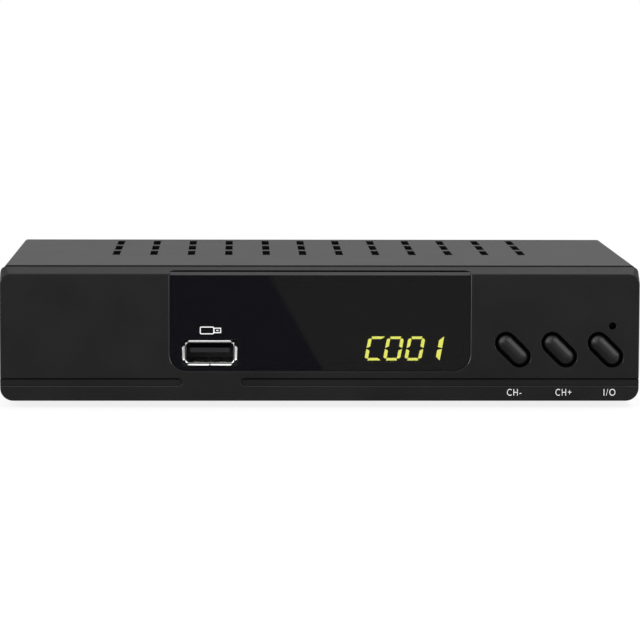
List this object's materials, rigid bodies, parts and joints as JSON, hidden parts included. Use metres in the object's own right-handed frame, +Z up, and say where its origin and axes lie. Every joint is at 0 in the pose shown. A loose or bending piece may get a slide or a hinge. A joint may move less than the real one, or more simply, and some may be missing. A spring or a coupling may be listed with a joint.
{
  "type": "cable tv receiver",
  "caption": "Flat set-top receiver with a smoked display window, slanted push buttons, a front data socket, a vented steel cover, and aerial, audio, video and power sockets behind.",
  "frame": {"origin": "under the middle of the whole box, on the surface that the feet stand on", "axes": "+X to the right seen from the front, +Y from the front panel to the rear sockets, +Z up"},
  "size_m": [0.168, 0.1056, 0.0373],
  "materials": {
    "panel_plastic": "fine moulded texture, black",
    "smoked_acrylic": "polished, smoked almost black",
    "cover_paint": "fine textured black powder coat",
    "chassis_paint": "black coated sheet",
    "plated_steel": "bright plated sheet",
    "board_laminate": "green solder mask",
    "screw_steel": "zinc plated",
    "black_screw": "blackened",
    "display_plastic": "black face",
    "lit_resin": "glowing yellow-green",
    "unlit_resin": "dark diffuser",
    "led_resin": "dark red, unlit",
    "infrared_resin": "dark resin",
    "black_nylon": "moulded black",
    "contact_brass": "gold flashed",
    "pillar_brass": "turned",
    "chip_plastic": "moulded package",
    "heatsink_aluminium": "extruded",
    "capacitor_can": "sleeved can",
    "ferrite": "pressed ferrite",
    "plated_barrel": "nickel plated",
    "white_insulator": "natural plastic",
    "orange_plastic": "moulded orange",
    "button_plastic": "satin black",
    "plunger_plastic": "natural plastic",
    "dome_steel": "spring sheet",
    "foot_rubber": "soft black"
  },
  "bodies": {
    "receiver": {"front_panel": "panel_plastic", "display_window": "smoked_acrylic", "top_cover": "cover_paint", "base_chassis": "chassis_paint", "switch_covers": "plated_steel", "front_board": "board_laminate", "front_board_screws": "screw_steel", "display_housing": "display_plastic", "lit_segments": "lit_resin", "unlit_segments": "unlit_resin", "standby_led": "led_resin", "infrared_receiver": "infrared_resin", "header_strip": "black_nylon", "header_pins": "contact_brass", "main_board": "board_laminate", "board_pillars": "pillar_brass", "board_screws": "screw_steel", "processor": "chip_plastic", "heatsink": "heatsink_aluminium", "memory_chip": "chip_plastic", "flash_chip": "chip_plastic", "capacitors": "capacitor_can", "inductors": "ferrite", "crystal": "plated_steel", "tuner_can": "plated_steel", "aerial_in_barrel": "plated_barrel", "aerial_in_insulator": "white_insulator", "aerial_in_contact": "contact_brass", "aerial_out_barrel": "plated_barrel", "aerial_out_insulator": "white_insulator", "aerial_out_pin": "contact_brass", "audio_jack_body": "orange_plastic", "audio_jack_ring": "plated_barrel", "video_socket_shell": "plated_steel", "video_socket_tongue": "black_nylon", "av_socket_body": "black_nylon", "av_socket_contacts": "contact_brass", "power_jack_body": "black_nylon", "power_jack_pin": "plated_barrel", "data_socket_shell": "plated_steel", "data_socket_tongue": "black_nylon", "data_socket_contacts": "contact_brass", "cover_screws": "black_screw", "panel_screws": "black_screw", "snap_dome_down": "dome_steel", "snap_dome_up": "dome_steel", "snap_dome_power": "dome_steel", "switch_housing_down": "black_nylon", "switch_housing_up": "black_nylon", "switch_housing_power": "black_nylon", "foot_front_left": "foot_rubber", "foot_front_right": "foot_rubber", "foot_rear_left": "foot_rubber", "foot_rear_right": "foot_rubber"},
    "down_key": {"button_channel_down": "button_plastic", "switch_plunger_down": "plunger_plastic"},
    "up_key": {"button_channel_up": "button_plastic", "switch_plunger_up": "plunger_plastic"},
    "power_key": {"button_power": "button_plastic", "switch_plunger_power": "plunger_plastic"}
  },
  "joints": [
    {"name": "down_press", "type": "slide", "parent": "receiver", "child": "down_key", "axis": [0, 1, 0], "range_m": [0, 0.0004], "stiffness_N_per_m": 1000, "springref_m": -0.0006, "deforming": ["snap_dome_down"]},
    {"name": "up_press", "type": "slide", "parent": "receiver", "child": "up_key", "axis": [0, 1, 0], "range_m": [0, 0.0004], "stiffness_N_per_m": 1000, "springref_m": -0.0006, "deforming": ["snap_dome_up"]},
    {"name": "power_press", "type": "slide", "parent": "receiver", "child": "power_key", "axis": [0, 1, 0], "range_m": [0, 0.0004], "stiffness_N_per_m": 1000, "springref_m": -0.0006, "deforming": ["snap_dome_power"]}
  ]
}
